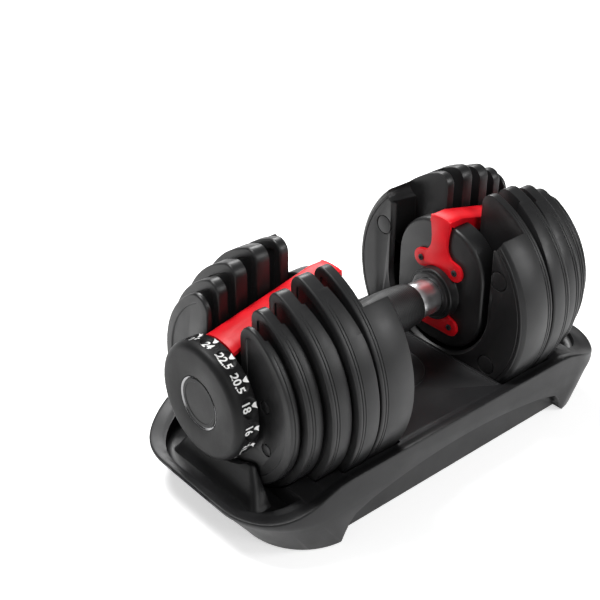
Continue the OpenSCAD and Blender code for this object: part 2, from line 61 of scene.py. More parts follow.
# Colours a user may want to change, as linear red, green and blue.
paints = {
    "black": (0.0095, 0.0095, 0.0100),
    "tray": (0.0105, 0.0105, 0.0112),
    "rubber": (0.0100, 0.0100, 0.0104),
    "red": (0.72, 0.004, 0.012),
    "print": (0.90, 0.90, 0.89),
    "steel": (0.62, 0.62, 0.63),
    "plating": (0.80, 0.80, 0.81),
    "oxide": (0.022, 0.022, 0.023),
}

labels = ["24", "22.5", "20.5", "18", "16", "13.5", "11.5", "10", "9", "8", "6.5", "5.5", "4.5", "3.5", "2.5"]

axle = sizes["axleHeight"]
plateInner = []  # distance of each plate's handle side from the middle, outermost plate first
reach = sizes["handRoom"] / 2
for thickness in reversed(sizes["plateThickness"]):
    plateInner.insert(0, reach)
    reach += thickness + sizes["plateGap"]
platesEnd = plateInner[0] + sizes["plateThickness"][0]
dialOut = 0.2
dialIn = dialOut - sizes["dialLength"]
discIn = sizes["handRoom"] / 2 + 0.0025

# An end's own frame: x to the right, y up and z outwards, seen from outside.
endFrame = {
    "near": Matrix(((0, 0, -1, 0), (-1, 0, 0, 0), (0, 1, 0, axle), (0, 0, 0, 1))),
    "far": Matrix(((0, 0, 1, 0), (1, 0, 0, 0), (0, 1, 0, axle), (0, 0, 0, 1))),
}


class Shader:  # builds one procedural material's node tree
    def __init__(self, name):
        self.material = bpy.data.materials.new(name)
        self.material.use_nodes = True
        self.tree = self.material.node_tree
        self.surface = self.tree.nodes["Principled BSDF"]
        self.coords = self.add("ShaderNodeTexCoord").outputs["Object"]

    def add(self, kind, **values):
        node = self.tree.nodes.new(kind)
        for key, value in values.items():
            setattr(node, key, value)
        return node

    def link(self, output, target):
        self.tree.links.new(output, target)

    def noise(self, scale, detail=4.0, rough=0.55, stretch=None):
        node = self.add("ShaderNodeTexNoise")
        node.inputs["Scale"].default_value = scale
        node.inputs["Detail"].default_value = detail
        node.inputs["Roughness"].default_value = rough
        source = self.coords
        if stretch:
            mapping = self.add("ShaderNodeMapping")
            mapping.inputs["Scale"].default_value = stretch
            self.link(source, mapping.inputs["Vector"])
            source = mapping.outputs["Vector"]
        self.link(source, node.inputs["Vector"])
        return node.outputs["Fac"]

    def spread(self, source, low, high, start=0.35, end=0.65):
        node = self.add("ShaderNodeMapRange")
        node.inputs["From Min"].default_value = start
        node.inputs["From Max"].default_value = end
        node.inputs["To Min"].default_value = low
        node.inputs["To Max"].default_value = high
        self.link(source, node.inputs["Value"])
        return node.outputs["Result"]

    def mix(self, factor, first, second):
        node = self.add("ShaderNodeMix", data_type="RGBA")
        self.link(factor, node.inputs[0])
        for socket, value in ((node.inputs[6], first), (node.inputs[7], second)):
            if isinstance(value, tuple):
                socket.default_value = (*value[:3], 1.0)
            else:
                self.link(value, socket)
        return node.outputs[2]

    def bump(self, height, strength, distance, below=None):
        node = self.add("ShaderNodeBump")
        node.inputs["Strength"].default_value = strength
        node.inputs["Distance"].default_value = distance
        self.link(height, node.inputs["Height"])
        if below:
            self.link(below, node.inputs["Normal"])
        return node.outputs["Normal"]

    def finish(self, colour=None, rough=None, normal=None, **constants):
        if colour:
            self.link(colour, self.surface.inputs["Base Color"])
        if rough:
            self.link(rough, self.surface.inputs["Roughness"])
        if normal:
            self.link(normal, self.surface.inputs["Normal"])
        for name, value in constants.items():
            self.surface.inputs[name.replace("_", " ")].default_value = value
        return self.material


def shade(colour, factor):
    return tuple(min(1.0, c * factor) for c in colour)


# Spark-eroded grain, flow marks and scuffs.
def plasticMaterial(name, colour, roughLow, roughHigh, grain=0.06, shine=0.5):
    s = Shader(name)
    flow = s.noise(14, 3, 0.5)
    tint = s.mix(s.spread(flow, 0, 1), shade(colour, 0.88), shade(colour, 1.14))
    dust = s.spread(s.noise(55, 6, 0.7), 0, 0.05, 0.55, 0.75)
    tint = s.mix(dust, tint, (0.07, 0.07, 0.072))
    rough = s.spread(s.noise(30, 5, 0.6), roughLow, roughHigh)
    scuff = s.noise(40, 4, 0.6, (1, 7, 1))
    fine = s.bump(s.noise(2600, 2, 0.5), grain, 0.0002)
    wave = s.bump(scuff, 0.035, 0.0012, fine)
    return s.finish(tint, rough, wave, Specular_IOR_Level=shine)


def rubberMaterial():
    s = Shader("gripRubber")
    tint = s.mix(s.spread(s.noise(60, 5, 0.6), 0, 1), shade(paints["rubber"], 0.8), shade(paints["rubber"], 1.35))
    rough = s.spread(s.noise(80, 5, 0.6), 0.42, 0.58)
    fine = s.bump(s.noise(1500, 3, 0.6), 0.22, 0.0004)
    return s.finish(tint, rough, fine, Specular_IOR_Level=0.4)


def paintMaterial(name, colour):
    s = Shader(name)
    tint = s.mix(s.spread(s.noise(22, 4, 0.6), 0, 1), shade(colour, 0.86), shade(colour, 1.1))
    chips = s.spread(s.noise(260, 3, 0.7), 0, 0.35, 0.70, 0.78)
    tint = s.mix(chips, tint, shade(colour, 0.35))
    rough = s.spread(s.noise(45, 4, 0.6), 0.38, 0.50)
    peel = s.bump(s.noise(700, 2, 0.5), 0.10, 0.0003)
    return s.finish(tint, rough, peel, Specular_IOR_Level=0.28)


def metalMaterial(name, colour, roughLow, roughHigh, stretch, strength=0.05):
    s = Shader(name)
    lines = s.noise(900, 3, 0.6, stretch)
    tint = s.mix(s.spread(s.noise(25, 4, 0.6), 0, 1), shade(colour, 0.84), colour)
    smudge = s.noise(35, 5, 0.65)
    rough = s.spread(smudge, roughLow, roughHigh)
    return s.finish(tint, rough, s.bump(lines, strength, 0.0002), Metallic=1.0)


def printMaterial():
    s = Shader("numberPrint")
    wear = s.spread(s.noise(420, 5, 0.7), 0, 0.35, 0.60, 0.74)
    tint = s.mix(wear, paints["print"], (0.55, 0.55, 0.54))
    rough = s.spread(s.noise(120, 4, 0.6), 0.38, 0.52)
    return s.finish(tint, rough, s.bump(s.noise(1800, 2, 0.5), 0.05, 0.0002))


looks = {
    "plate": plasticMaterial("platePlastic", paints["black"], 0.38, 0.48, 0.06, 0.40),
    "disc": plasticMaterial("discPlastic", paints["black"], 0.34, 0.46, 0.10),
    # painted shade: the dial and its badge take the black plastic darkened to 0.7, standing in for the shade on
    # their outward faces
    "dial": plasticMaterial("dialPlasticPaintedShade", shade(paints["black"], 0.7), 0.44, 0.54, 0.10, 0.2),
    "cap": plasticMaterial("capPlasticPaintedShade", shade(paints["black"], 0.7), 0.40, 0.50, 0.04, 0.2),
    "tray": plasticMaterial("trayPlastic", paints["tray"], 0.38, 0.50, 0.14, 0.36),
    "nylon": plasticMaterial("innerNylon", shade(paints["black"], 0.9), 0.45, 0.6, 0.08),
    "rubber": rubberMaterial(),
    "red": paintMaterial("redPaint", paints["red"]),
    "screw": paintMaterial("blackOxide", paints["oxide"]),
    "steel": metalMaterial("turnedSteel", paints["steel"], 0.24, 0.38, (30, 1, 1)),
    "plating": metalMaterial("brightPlating", paints["plating"], 0.32, 0.40, (1, 1, 1), 0.0),
    "trim": metalMaterial("darkTrim", shade(paints["plating"], 0.35), 0.12, 0.22, (1, 1, 1), 0.02),
    "core": metalMaterial("coreSteel", shade(paints["steel"], 0.6), 0.4, 0.6, (1, 1, 1)),
    "print": printMaterial(),
}
print("materials made")


def arc(cx, cy, radius, start, end, steps):  # points on an arc from start to end, in degrees, both included
    span = math.radians(end - start)
    first = math.radians(start)
    return [
        (cx + radius * math.cos(first + span * i / steps), cy + radius * math.sin(first + span * i / steps))
        for i in range(steps + 1)
    ]


def fillet(width, steps=4):  # inset and depth along a quarter round, from the face to the side
    return [
        (width * (1 - math.sin(math.pi / 2 * i / steps)), width * (1 - math.cos(math.pi / 2 * i / steps)))
        for i in range(steps + 1)
    ]


# Joins closed rings of (x, y, z) points that all have the same count.
def loft(bm, rings, capStart=True, capEnd=True):
    made = [[bm.verts.new(p) for p in ring] for ring in rings]
    count = len(made[0])
    for a, b in zip(made, made[1:]):
        for i in range(count):
            j = (i + 1) % count
            bm.faces.new((a[i], a[j], b[j], b[i]))
    if capStart:
        bm.faces.new(list(reversed(made[0])))
    if capEnd:
        bm.faces.new(made[-1])
    return made


# A closed solid of revolution about z from (radius, z) points. A first or last radius of 0 closes it there.
def turned(bm, profile, steps=128):
    rings = []
    turns = [2 * math.pi * i / steps for i in range(steps)]
    for radius, z in profile:
        reach = max(radius, 1e-6)
        rings.append([(reach * math.cos(a), reach * math.sin(a), z) for a in turns])
    made = loft(bm, rings, False, False)
    if profile[0][0] > 0 and profile[0] != profile[-1]:
        bm.faces.new(list(reversed(made[0])))
        bm.faces.new(made[-1])
    bmesh.ops.remove_doubles(bm, verts=bm.verts, dist=4e-6)


def prism(outline, z0, z1, edge, segments=3):  # an outline between two depths, with its rims rounded
    bm = bmesh.new()
    loft(bm, [[(x, y, z) for x, y in outline] for z in (z0, z1)])
    bmesh.ops.recalc_face_normals(bm, faces=bm.faces)
    if edge:
        rims = [e for e in bm.edges if abs(e.verts[0].co.z - e.verts[1].co.z) < 1e-9]
        bmesh.ops.bevel(bm, geom=rims, offset=edge, segments=segments, profile=0.5, affect="EDGES", material=-1)
    return bm


def asObject(bm, name, matrix=None):
    if matrix:
        bmesh.ops.transform(bm, matrix=matrix, verts=bm.verts)
    bmesh.ops.recalc_face_normals(bm, faces=bm.faces)
    mesh = bpy.data.meshes.new(name)
    bm.to_mesh(mesh)
    bm.free()
    obj = bpy.data.objects.new(name, mesh)
    bpy.context.scene.collection.objects.link(obj)
    return obj


def carve(obj, tool, operation="DIFFERENCE"):  # applies a boolean with a tool, which is then removed
    cut = obj.modifiers.new("carve", "BOOLEAN")
    cut.operation = operation
    cut.solver = "MANIFOLD"
    cut.object = tool
    bpy.context.view_layer.update()
    result = bpy.data.meshes.new_from_object(obj.evaluated_get(bpy.context.evaluated_depsgraph_get()))
    obj.modifiers.clear()
    obj.data = result
    bpy.data.objects.remove(tool)
    return obj


def softenEdges(obj, width, angle, keep=None, segments=2):  # rounds the sharp edges left by cuts
    bm = bmesh.new()
    bm.from_mesh(obj.data)
    bmesh.ops.remove_doubles(bm, verts=bm.verts, dist=1e-5)
    bmesh.ops.dissolve_limit(bm, angle_limit=math.radians(0.5), verts=bm.verts, edges=bm.edges)
    sharp = [
        e for e in bm.edges
        if len(e.link_faces) == 2 and e.calc_face_angle(0) > math.radians(angle) and (keep is None or keep(e))
    ]
    bmesh.ops.bevel(bm, geom=sharp, offset=width, segments=segments, profile=0.5, affect="EDGES",
                    clamp_overlap=True, material=-1)
    bmesh.ops.recalc_face_normals(bm, faces=bm.faces)
    bm.to_mesh(obj.data)
    bm.free()
    return obj


def place(obj, look, body, nodes=(), smooth=32):
    obj.data.materials.clear()
    obj.data.materials.append(looks[look])
    for face in obj.data.polygons:
        face.use_smooth = True
        face.material_index = 0
    obj.data.set_sharp_from_angle(angle=math.radians(smooth))
    if nodes:
        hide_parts(*nodes)
    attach(obj, body)
    return obj


def plateOutline(radius, slot, tip, inset):  # x, y and a weight of 1 round the rim and 0 at the horns
    tipX = slot + tip
    tipY = math.sqrt((radius - tip) ** 2 - tipX**2)
    meet = math.degrees(math.atan2(tipY, tipX))
    points = []
    steps = 168
    for i, (x, y) in enumerate(arc(0, 0, radius - inset, meet, -180 - meet, steps)):
        away = min(i, steps - i) / steps
        points.append((x, y, min(1.0, max(0.0, (away - 0.03) / 0.05))))
    small = max(tip - inset, 1e-4)
    left = arc(-tipX, tipY, small, 180 - meet, 0, 14)
    right = arc(tipX, tipY, small, 180, meet, 14)
    points += [(x, y, 0) for x, y in left[1:]]
    half = slot + inset
    points += [(-half, tipY * t / 6, 0) for t in range(5, 0, -1)]
    points += [(x, y, 0) for x, y in arc(0, 0, half, 180, 360, 36)]
    points += [(half, tipY * t / 6, 0) for t in range(1, 6)]
    points += [(x, y, 0) for x, y in right[:-1]]
    return points


def plateRings(number):
    radius = sizes["plateRadius"][number]
    thick = sizes["plateThickness"][number]
    start = plateInner[number]
    end = start + thick
    edge = 0.0018
    if number == 4:
        profile = [(0.0075, start, 0), (0.0071, start + 0.0005, 0), (0.0065, start + 0.0005, 0), (0.0061, start, 0)]
        profile += [(0.0034 + inset, start + depth, 0) for inset, depth in fillet(0.0010)]
        profile += [(0.0030 * (1 - t) ** 1.5, start + 0.0012 + 0.0028 * t, 0) for t in (0.25, 0.5, 0.75, 1.0)]
    else:
        profile = [(inset, start + depth, 0) for inset, depth in fillet(edge)]
    lines = [0.0062, 0.0036] if number else [0.0036]
    for back in lines:
        for shift, depth in ((-0.0006, 0), (-0.0004, 0.0006), (0.0004, 0.0006), (0.0006, 0)):
            profile.append((0, end - back + shift, depth))
    profile += [(inset, end - depth, 0) for inset, depth in reversed(fillet(edge))]
    panel = 0.0075
    drop = 0.0009
    profile += [(panel, end, 0), (panel + 0.0004, end - drop * 0.3, 0), (panel + 0.0009, end - drop, 0)]
    rings = []
    for inset, z, groove in profile:
        outline = plateOutline(radius, sizes["slotHalf"], sizes["hornTip"][number], inset)
        shrink = [(radius - inset - groove * w) / (radius - inset) for x, y, w in outline]
        rings.append([(x * k, y * k, z) for (x, y, w), k in zip(outline, shrink)])
    return rings


# Cutter for a pocket that is round below and open above, with a rounded mouth.
def openPocket(radius, start, depth, mouth=0.0012):
    bm = bmesh.new()
    rings = []
    profile = [(mouth, start - 0.002)]
    profile += [(mouth - depthIn, start + mouth - inset) for depthIn, inset in fillet(mouth)]
    corner = 0.0008
    for i in range(4):
        bend = math.pi / 2 * i / 3
        profile.append((-corner * (1 - math.cos(bend)), start + depth - corner * (1 - math.sin(bend))))
    for grow, z in profile:
        r = radius + grow
        ring = [(r, 0.16), (-r, 0.16)] + arc(0, 0, r, 180, 360, 72)
        rings.append([(x, y, z) for x, y in ring])
    loft(bm, rings)
    return asObject(bm, "pocketCutter")


def crescentCutter(start, floor):  # rounds down the crescent's two top corners beside its recess
    side, top = sizes["recessRadius"], sizes["crescentTop"]
    whole = bmesh.new()
    for s in (1, -1):
        curve = [(side - 0.003, top - 0.002), (side, top)]
        for step in range(1, 6):
            turn = math.radians(18 * step)
            curve.append((side + 0.0095 * math.sin(turn) ** 1.25, top + 0.0125 * (1 - math.cos(turn))))
        curve += [(side + 0.0095 + 0.02, top + 0.0125 + 0.035), (side - 0.003, top + 0.0125 + 0.035)]
        part = prism([(s * x, y) for x, y in curve], start - 0.01, floor, 0)
        mesh = bpy.data.meshes.new("corner")
        part.to_mesh(mesh)
        part.free()
        whole.from_mesh(mesh)
    return asObject(whole, "cornerCutter")


def rampCutter(start, floor, radius):  # thins the horns on the handle side, towards their tips
    low = sizes["rampStart"]
    outline = [(low - 0.02, start - 0.004), (low, start)]
    for t in (0.15, 0.3, 0.45, 0.6, 0.75, 0.9, 1.0):
        outline.append((low + (radius - low) * t, start + (floor - start) * t * t * (1.6 - 0.6 * t)))
    outline += [(radius + 0.05, floor + 0.002), (radius + 0.05, start - 0.004)]
    bm = bmesh.new()
    loft(bm, [[(x, y, z) for y, z in outline] for x in (-0.12, 0.12)])
    return asObject(bm, "rampCutter")


# Cutter for a fine round groove in a face, where way is 1 for a face that looks inwards and -1 outwards.
def ringMark(x, y, face, way, radius):
    bm = bmesh.new()
    deep = 0.0014 * way
    wide = 0.0008
    turned(bm, [(radius - wide, face - deep), (radius + wide, face - deep), (radius + wide * 0.5, face + deep),
                (radius - wide * 0.5, face + deep), (radius - wide, face - deep)], 64)
    bmesh.ops.recalc_face_normals(bm, faces=bm.faces)
    return asObject(bm, "markCutter", Matrix.Translation((x, y, 0)))


def makePlate(end, number):
    name = f"{end}_plate_{number + 1}_jacket"
    bm = bmesh.new()
    loft(bm, plateRings(number))
    plate = asObject(bm, name)
    start = plateInner[number]
    isCrescent = number == 4
    radius = sizes["recessRadius"] if isCrescent else sizes["pocketRadius"]
    mouth = 0.0042 if isCrescent else 0.0012
    carve(plate, openPocket(radius, start, sizes["pocketDepth"][number], mouth))
    floor = start + sizes["pocketDepth"][number]
    if isCrescent:
        carve(plate, crescentCutter(start, floor))
    else:
        carve(plate, rampCutter(start, floor, sizes["plateRadius"][number]))
    if isCrescent:
        for x, y in ((0.0687, 0.040), (-0.0687, 0.040), (0.0635, -0.0465), (-0.0635, -0.0465)):
            carve(plate, ringMark(x, y, start, 1, 0.0088))
    if number == 0:
        for x, y in ((0.048, 0.0094), (-0.048, 0.0094), (0.0487, -0.0303), (-0.0487, -0.0303)):
            carve(plate, ringMark(x, y, start + sizes["plateThickness"][0] - 0.0009, -1, 0.0052))
    lug = [(0.0362 * math.cos(math.radians(a)), 0.0362 * math.sin(math.radians(a))) for a in (-96, -90, -84)]
    lug += [(0.0392 * math.cos(math.radians(a)), 0.0392 * math.sin(math.radians(a))) for a in (-84, -90, -96)]
    carve(plate, asObject(prism(lug, floor - 0.0022, floor + 0.001, 0.0004), "lug"), "UNION")
    softenEdges(plate, 0.0009, 55)
    plate.data.transform(endFrame[end])
    place(plate, "plate", f"{end}_plate_{number + 1}",
          [f"{end}_plate_{number + 1}", f"{end}_core_{number + 1}"])


for end in endFrame:
    for number in range(5):
        makePlate(end, number)
print("plates made")


facet = 2 * math.pi / sizes["settings"]
dishMiddle = dialIn + 0.0072
dishDepth = 0.0014
shoulder = sizes["dialRadius"] - sizes["dialFace"]


def drumRadius(angle, z):  # the dial's surface: a drum with a rounded shoulder and a shallow dish under each number
    base = sizes["dialRadius"]
    over = z - (dialOut - shoulder)
    if over > 0:
        base = sizes["dialFace"] + math.sqrt(max(shoulder**2 - over**2, 0))
    back = dialIn + 0.0008 - z
    if back > 0:
        base -= 0.0008 - math.sqrt(max(0.0008**2 - back**2, 0))
    turn = (angle - math.pi / 2 + facet / 2) % facet - facet / 2
    across = turn * sizes["dialRadius"] / 0.0088
    along = (z - dishMiddle) / 0.0070
    left = 1 - across**2 - along**2
    lip = 0.00035 * math.exp(-((left + 0.05) / 0.07) ** 2)
    return base - 0.0003 + lip - (dishDepth * min(1.0, left * 3.2) if left > 0 else 0)


def makeDial(end):
    steps = sizes["settings"] * 26
    bm = bmesh.new()
    levels = [dialIn + 0.0008 * (1 - math.cos(math.pi / 2 * i / 3)) for i in range(4)]
    levels += [dialIn + 0.0008 + (dialOut - shoulder - dialIn - 0.0008) * i / 18 for i in range(1, 19)]
    levels += [dialOut - shoulder + shoulder * math.sin(math.pi / 2 * i / 8) for i in range(1, 9)]
    rings = []
    for z in levels:
        rings.append([
            (drumRadius(a, z) * math.cos(a), drumRadius(a, z) * math.sin(a), z)
            for a in (2 * math.pi * i / steps for i in range(steps))
        ])

    def circle(radius, z):
        turns = [2 * math.pi * i / steps for i in range(steps)]
        return [(radius * math.cos(a), radius * math.sin(a), z) for a in turns]

    ring = sizes["ringRadius"] + 0.0002
    face = [(ring + 0.0010, dialOut), (ring + 0.0003, dialOut - 0.0003), (ring, dialOut - 0.0010),
            (ring, dialOut - 0.0020), (0.010, dialOut - 0.0022), (0.010, dialIn + 0.0045), (0.0255, dialIn + 0.0045),
            (0.0255, dialIn + 0.014), (0.0420, dialIn + 0.014), (0.0456, dialIn + 0.011), (0.0456, dialIn + 0.0006),
            (0.0462, dialIn)]
    loft(bm, rings + [circle(r, z) for r, z in face], False, False)
    first = sorted((v for v in bm.verts if abs(v.co.z - dialIn) < 1e-7), key=lambda v: v.index)
    bm.verts.ensure_lookup_table()
    total = len(bm.verts)
    outer = [bm.verts[i] for i in range(steps)]
    inner = [bm.verts[total - steps + i] for i in range(steps)]
    for i in range(steps):
        j = (i + 1) % steps
        bm.faces.new((inner[i], inner[j], outer[j], outer[i]))
    dial = asObject(bm, f"{end}_dial_shell", endFrame[end])
    place(dial, "dial", f"{end}_dial_group", [f"{end}_dial"], 28)

    bm = bmesh.new()
    out = sizes["ringRadius"]
    wide = 0.0015
    profile = [(out - wide, dialOut - 0.0016), (out - wide, dialOut - 0.0011), (out - wide * 0.8, dialOut - 0.0010)]
    profile += [(out - wide * 0.25, dialOut - 0.0001), (out - wide * 0.1, dialOut), (out, dialOut - 0.0002)]
    profile += [(out, dialOut - 0.0016), (out - wide, dialOut - 0.0016)]
    turned(bm, profile)
    ringPiece = asObject(bm, f"{end}_ring", endFrame[end])
    place(ringPiece, "trim", f"{end}_dial_group", [f"{end}_dial_ring"])

    bm = bmesh.new()
    r = out - wide - 0.0001
    turned(bm, [(0, dialOut - 0.0021), (r, dialOut - 0.0021), (r, dialOut - 0.0009), (r - 0.0003, dialOut - 0.0006),
                (r - 0.003, dialOut - 0.0006), (r - 0.0033, dialOut - 0.0009), (r - 0.0045, dialOut - 0.0009),
                (0.008, dialOut - 0.0005), (0, dialOut - 0.0004)])
    cap = asObject(bm, f"{end}_badge", endFrame[end])
    place(cap, "cap", f"{end}_dial_group", [f"{end}_dial_cap"])


# Wraps flat lettering onto the drum: along runs downwards round it and across points to the plates.
def onDrum(along, across, setting, lift):
    angle = math.pi / 2 - setting * facet - along / sizes["dialRadius"]
    z = dishMiddle + 0.0016 - across
    radius = drumRadius(angle, z) + lift
    return Vector((radius * math.cos(angle), radius * math.sin(angle), z))


def flatText(words, height):
    curve = bpy.data.curves.new("label", "FONT")
    curve.body = words
    curve.size = height / 0.70
    curve.offset = height * 0.035
    curve.align_x = "CENTER"
    curve.resolution_u = 3
    holder = bpy.data.objects.new("label", curve)
    bpy.context.scene.collection.objects.link(holder)
    bpy.context.view_layer.update()
    mesh = bpy.data.meshes.new_from_object(holder.evaluated_get(bpy.context.evaluated_depsgraph_get()))
    bpy.data.objects.remove(holder)
    bm = bmesh.new()
    bm.from_mesh(mesh)
    bpy.data.meshes.remove(mesh)
    return bm


def sliced(bm, step):  # cuts flat shapes into strips so that they can bend
    for way in (Vector((1, 0, 0)), Vector((0, 1, 0))):
        cut = min(v.co.dot(way) for v in bm.verts) + step
        high = max(v.co.dot(way) for v in bm.verts)
        while cut < high:
            pieces = bm.verts[:] + bm.edges[:] + bm.faces[:]
            bmesh.ops.bisect_plane(bm, geom=pieces, plane_co=way * cut, plane_no=way)
            cut += step


def makeNumbers(end):
    whole = bmesh.new()
    for setting, words in enumerate(labels):
        bm = flatText(words, 0.0072)
        middle = (min(v.co.x for v in bm.verts) + max(v.co.x for v in bm.verts)) / 2
        for v in bm.verts:
            v.co.x = (v.co.x - middle) * 0.92
            v.co.y -= 0.0036
        corners = ((-0.0007, 0.0048, 0), (0.0007, 0.0048, 0), (0.0027, 0.0083, 0), (-0.0027, 0.0083, 0))
        wedge = [bm.verts.new(p) for p in corners]
        bm.faces.new(wedge)
        sliced(bm, 0.0009)
        faces = bmesh.ops.extrude_face_region(bm, geom=bm.faces[:])["geom"]
        raised = {v for v in faces if isinstance(v, bmesh.types.BMVert)}
        for v in bm.verts:
            v.co = onDrum(v.co.x, v.co.y, setting, 0.00012 if v in raised else -0.0002)
        part = bpy.data.meshes.new("label")
        bm.to_mesh(part)
        bm.free()
        whole.from_mesh(part)
        bpy.data.meshes.remove(part)
    numbers = asObject(whole, f"{end}_dial_numbers", endFrame[end])
    place(numbers, "print", f"{end}_dial_group")


for end in endFrame:
    makeDial(end)
    makeNumbers(end)
print("dials made")


def makeHandle():
    half = 0.031
    profile = [(0.0141, -half + 0.0004)]
    steps = 64
    for i in range(steps + 1):
        t = -1 + 2 * i / steps
        base = 0.0185 + 0.0025 * (1 - t * t)
        rib = 0.00028 * (0.5 - 0.5 * math.cos(i * math.pi))
        inset = 0.0009 if i in (0, steps) else 0
        profile.append((base - rib - inset, half * t))
    profile.append((0.0141, half - 0.0004))
    profile.append(profile[0])
    bm = bmesh.new()
    turned(bm, profile)
    grip = asObject(bm, "grip", Matrix.Translation((0, 0, axle)) @ Matrix.Rotation(math.pi / 2, 4, "Y"))
    place(grip, "rubber", "handle", ["grip_sleeve"])

    bm = bmesh.new()
    for s in (-1, 1):
        part = bmesh.new()
        inner, outer = 0.0311, 0.0529
        profile = [(0.0141, inner)]
        for z, r in ((inner, 0.0159), (inner + 0.0002, 0.0163), (inner + 0.0006, 0.0165), (0.0385, 0.0165),
                     (0.0450, 0.0165), (outer - 0.0006, 0.0165), (outer - 0.0002, 0.0163), (outer, 0.0159)):
            profile.append((r, z))
        profile += [(0.0141, outer), (0.0141, inner)]
        turned(part, profile)
        matrix = Matrix.Translation((0, 0, axle)) @ Matrix.Rotation(s * math.pi / 2, 4, "Y")
        bmesh.ops.transform(part, matrix=matrix, verts=part.verts)
        mesh = bpy.data.meshes.new("collar")
        part.to_mesh(mesh)
        part.free()
        bm.from_mesh(mesh)
    collars = asObject(bm, "collars")
    place(collars, "plating", "handle", ["handle_collars"])


def roundRect(hx, hy, radius, steps=16):
    radius = min(radius, hx - 1e-4, hy - 1e-4)
    points = []
    for cx, cy, start in ((hx - radius, hy - radius, 0), (-hx + radius, hy - radius, 90),
                          (-hx + radius, -hy + radius, 180), (hx - radius, -hy + radius, 270)):
        points += arc(cx, cy, radius, start, start + 90, steps)
    return points


def makeInnerDisc(end):
    top, bottom, half = 0.067, 0.053, 0.051
    middle = (top - bottom) / 2
    tall = (top + bottom) / 2
    back = discIn + 0.020

    def ring(inset, z):
        return [(x, y + middle, z) for x, y in roundRect(half - inset, tall - inset, 0.044 - inset, 20)]

    rings = [ring(a, discIn + b) for a, b in fillet(0.0036, 6)]
    rings += [ring(a, back - b) for a, b in reversed(fillet(0.0015))]
    bm = bmesh.new()
    loft(bm, rings)
    disc = asObject(bm, f"{end}_disc")
    hub = 0.0245
    bm = bmesh.new()
    near = discIn - 0.0125
    turned(bm, [(0, near), (hub - 0.0048, near), (hub - 0.0038, near + 0.0004), (hub - 0.0030, near + 0.0012),
                (hub - 0.0030, near + 0.0030), (hub - 0.0008, near + 0.0030), (hub, near + 0.0038),
                (hub, discIn - 0.0010), (hub + 0.0010, discIn + 0.0010), (0, discIn + 0.0010)], 96)
    carve(disc, asObject(bm, "hub"), "UNION")
    bm = bmesh.new()
    turned(bm, [(0, near - 0.01), (0.0141, near - 0.01), (0.0141, back + 0.01), (0, back + 0.01)], 96)
    carve(disc, asObject(bm, "bore"))
    disc.data.transform(endFrame[end])
    place(disc, "disc", "handle", [f"{end}_inner_disc"])


def bracketHole(obj, places, z0, z1):
    for x, y in places:
        bm = prism(arc(x, y, 0.0020, 0, 345, 23), z0, z1, 0)
        carve(obj, asObject(bm, "screwHole"))


def makeBridge(end):
    ear, screwX, screwY, hub = 0.0088, 0.020, 0.027, 0.0246
    front = discIn - 0.003
    right = [(0.0118, 0.0725), (0.0112, 0.066), (0.0100, 0.059), (0.0093, 0.053)]
    right += [(0.0092, 0.048), (0.0100, 0.0435), (0.0122, 0.0395), (0.0150, 0.0371)]
    right += arc(screwX, screwY, ear, 68, -112, 7)
    right += [(hub * math.sin(math.radians(a)), hub * math.cos(math.radians(a))) for a in (36, 30, 24, 18, 12, 6)]
    outline = right + [(0, hub)] + [(-x, y) for x, y in reversed(right)]
    strap = asObject(prism(outline, front, discIn - 0.0001, 0.0006, 2), f"{end}_strap")
    stations = []
    knee, outer = 0.078, 0.1779
    spots = [front, front + 0.0006, front + 0.0022, 0.070, 0.0745, 0.078]
    spots += [0.082, 0.088, 0.096, 0.106, 0.118, 0.130, 0.142, 0.154, 0.164, 0.172, outer - 0.0008, outer]
    for z in spots:
        t = max(0.0, (z - knee) / (outer - knee))
        height = 0.0742 - 0.0245 * t
        if z < front + 0.003:
            height -= 0.0022 - math.sqrt(max(0.0022**2 - (front + 0.0022 - z) ** 2, 0)) if z < front + 0.0022 else 0
        half = 0.0115 + 0.0058 * t**1.6
        flange = 0.003 + 0.0095 * max(0.0, 1 - ((z - 0.094) / 0.030) ** 2) if abs(z - 0.094) < 0.030 else 0.003
        flange += 0.0006
        crown = 0.0008 + 0.0026 * t * t
        top = []
        steps = 12
        for i in range(steps + 1):
            u = -1 + 2 * i / steps
            top.append((half * u, height - crown * u * u - 0.0012 * abs(u) ** 8))
        wallSide = 0.0022
        under = [(x * (half - wallSide) / half, y - 0.0022) for x, y in top]
        ring = top + [(half, top[-1][1] - flange), (half - wallSide, top[-1][1] - flange)]
        ring += list(reversed(under))
        ring += [(-half + wallSide, top[0][1] - flange), (-half, top[0][1] - flange)]
        stations.append([(x, y, z) for x, y in ring])
    bm = bmesh.new()
    loft(bm, stations)
    carve(strap, asObject(bm, "strip"), "UNION")
    bracketHole(strap, [(screwX, screwY), (-screwX, screwY)], front - 0.001, discIn + 0.001)
    softenEdges(strap, 0.0004, 50)
    strap.data.transform(endFrame[end])
    place(strap, "red", "handle", [f"{end}_bridge"])

    lowX, lowY = 0.0185, -0.029
    right = arc(lowX, lowY, ear, -90, 78, 8)
    right += [(hub * math.sin(math.radians(a)), -hub * math.cos(math.radians(a))) for a in (40, 32, 24, 16, 8)]
    outline = right + [(0, -hub)] + [(-x, y) for x, y in reversed(right)]
    lower = asObject(prism(outline, front, discIn - 0.0001, 0.0006, 2), f"{end}_clamp")
    bracketHole(lower, [(lowX, lowY), (-lowX, lowY)], front - 0.001, discIn + 0.001)
    lower.data.transform(endFrame[end])
    place(lower, "red", "handle", [f"{end}_lower_bracket"])


